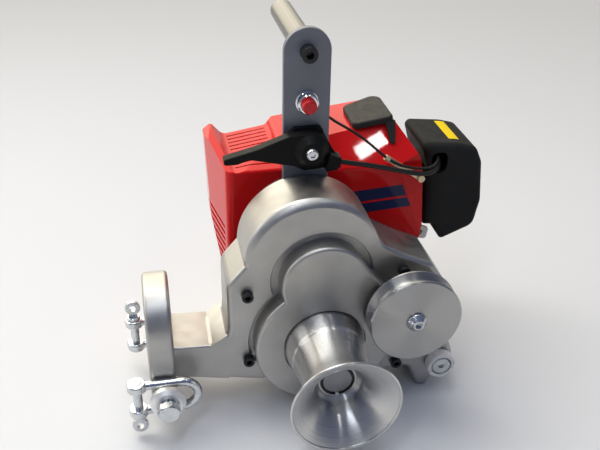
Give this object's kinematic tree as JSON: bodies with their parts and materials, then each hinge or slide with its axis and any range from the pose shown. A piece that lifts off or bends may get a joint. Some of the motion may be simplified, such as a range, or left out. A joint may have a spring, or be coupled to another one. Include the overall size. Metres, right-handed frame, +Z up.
{
  "type": "capstan winch",
  "caption": "Petrol capstan winch: flared rope drum and guide pulley on a cast gear housing, anchor arm with shackles, carrying strap and shrouded engine behind.",
  "frame": {"origin": "bottom centre of the bounding box", "axes": "+X to the right seen from the drum's mouth, +Y from the drum to the engine along the drum axis, +Z up"},
  "size_m": [0.346, 0.2866, 0.3336],
  "materials": {
    "cast_alloy": "bead-blasted casting",
    "turned_alloy": "turned and polished",
    "tube_alloy": "drawn tube",
    "gear_steel": "ground steel",
    "wheel_iron": "as cast",
    "zinc_steel": "bright zinc plate",
    "black_screw": "black oxide",
    "strap_paint": "satin paint",
    "red_plastic": "moulded, glossy",
    "black_plastic": "moulded, satin",
    "black_rubber": "moulded",
    "white_nylon": "turned nylon",
    "tank_plastic": "blow-moulded",
    "switch_chrome": "plated",
    "button_red": "moulded",
    "lining": "friction lining",
    "gasket_paper": "pressed fibre",
    "filter_foam": "open foam",
    "clip_steel": "yellow passivated"
  },
  "bodies": {
    "frame": {"anchor_bolts": "zinc_steel", "anchor_spools": "zinc_steel", "anchor_washers": "zinc_steel", "cable_clip": "clip_steel", "capstan_seal": "black_rubber", "carburettor": "cast_alloy", "clutch_housing": "cast_alloy", "clutch_hub": "gear_steel", "clutch_shoes": "lining", "connecting_rod": "turned_alloy", "crankcase": "cast_alloy", "crankshaft": "gear_steel", "cylinder": "cast_alloy", "engine_bolts": "black_screw", "engine_shroud": "red_plastic", "filter_cover": "black_plastic", "filter_element": "filter_foam", "flywheel": "wheel_iron", "fuel_tank": "tank_plastic", "gear_housing": "cast_alloy", "handle_bolt": "black_screw", "handle_strap": "strap_paint", "handle_tube": "tube_alloy", "housing_gasket": "gasket_paper", "housing_screws": "black_screw", "lever_screw": "zinc_steel", "muffler": "gear_steel", "piston": "turned_alloy", "plug_cap": "black_rubber", "pulley_bolt": "zinc_steel", "pulley_spacer": "turned_alloy", "roller_screw": "zinc_steel", "shaft_bearings": "gear_steel", "spark_plug": "zinc_steel", "starter_housing": "black_plastic", "stop_wire": "black_rubber", "strap_screws": "black_screw", "switch_body": "switch_chrome", "throttle_bracket": "black_plastic", "throttle_cable": "black_rubber"},
    "capstan": {"capstan_drum": "turned_alloy", "capstan_shaft": "gear_steel", "drum_circlip": "black_screw", "output_gear": "gear_steel"},
    "countershaft": {"intermediate_shaft": "gear_steel", "intermediate_gear": "gear_steel"},
    "clutch_output": {"clutch_drum": "gear_steel"},
    "pulley": {"rope_pulley": "turned_alloy", "pulley_bearing": "gear_steel"},
    "roller": {"rope_roller": "white_nylon"},
    "front_shackle": {"front_shackle": "zinc_steel"},
    "front_shackle_pin": {"front_shackle_pin": "zinc_steel"},
    "rear_shackle": {"rear_shackle": "zinc_steel"},
    "rear_shackle_pin": {"rear_shackle_pin": "zinc_steel"},
    "lever": {"throttle_lever": "black_plastic"},
    "button": {"stop_button": "button_red"},
    "starter": {"starter_pulley": "black_plastic"},
    "cap": {"fuel_cap": "black_plastic"}
  },
  "joints": [
    {"name": "capstan_spin", "type": "hinge", "parent": "frame", "child": "capstan", "pos_m": [-0.00232, -0.06363, 0.072], "axis": [0, 1, 0], "continuous": true},
    {"name": "countershaft_spin", "type": "hinge", "parent": "frame", "child": "countershaft", "pos_m": [0.02543, -0.02864, 0.12744], "axis": [0, 1, 0], "continuous": true},
    {"name": "clutch_spin", "type": "hinge", "parent": "frame", "child": "clutch_output", "pos_m": [-0.01132, -0.00364, 0.15], "axis": [0, 1, 0], "continuous": true},
    {"name": "pulley_spin", "type": "hinge", "parent": "frame", "child": "pulley", "pos_m": [0.07068, -0.07663, 0.1042], "axis": [0, 1, 0], "continuous": true},
    {"name": "roller_spin", "type": "hinge", "parent": "frame", "child": "roller", "pos_m": [0.10967, -0.05563, 0.029], "axis": [0, 1, 0], "continuous": true},
    {"name": "front_shackle_swing", "type": "hinge", "parent": "frame", "child": "front_shackle", "pos_m": [-0.13983, -0.06864, 0.0415], "axis": [0, 1, 0], "range_deg": [-10, 10]},
    {"name": "front_pin_turn", "type": "hinge", "parent": "front_shackle", "child": "front_shackle_pin", "pos_m": [-0.16482, -0.06864, 0.0415], "axis": [0, 0, 1], "continuous": true},
    {"name": "rear_shackle_swing", "type": "hinge", "parent": "frame", "child": "rear_shackle", "pos_m": [-0.13983, 0.02136, 0.0415], "axis": [0, 1, 0], "range_deg": [-10, 10]},
    {"name": "rear_pin_turn", "type": "hinge", "parent": "rear_shackle", "child": "rear_shackle_pin", "pos_m": [-0.16482, 0.02136, 0.0415], "axis": [0, 0, 1], "continuous": true},
    {"name": "throttle_turn", "type": "hinge", "parent": "frame", "child": "lever", "pos_m": [-0.00882, -0.01363, 0.236], "axis": [0, 1, 0], "range_deg": [0, 45]},
    {"name": "stop_press", "type": "slide", "parent": "frame", "child": "button", "axis": [0, 1, 0], "range_m": [0, 0.003], "stiffness_N_per_m": 600},
    {"name": "starter_turn", "type": "hinge", "parent": "frame", "child": "starter", "pos_m": [-0.01132, 0.12137, 0.15], "axis": [0, 1, 0], "range_deg": [0, 900], "stiffness_Nm_per_rad": 0.02},
    {"name": "fuel_cap_turn", "type": "hinge", "parent": "frame", "child": "cap", "pos_m": [0.04367, 0.11237, 0.052], "axis": [0, 0.7071, 0.7071], "range_deg": [0, 450]}
  ],
  "couplings": [
    {"joint": "countershaft_spin", "follows": "capstan_spin", "ratio": -4.1667},
    {"joint": "clutch_spin", "follows": "capstan_spin", "ratio": 17.949}
  ]
}
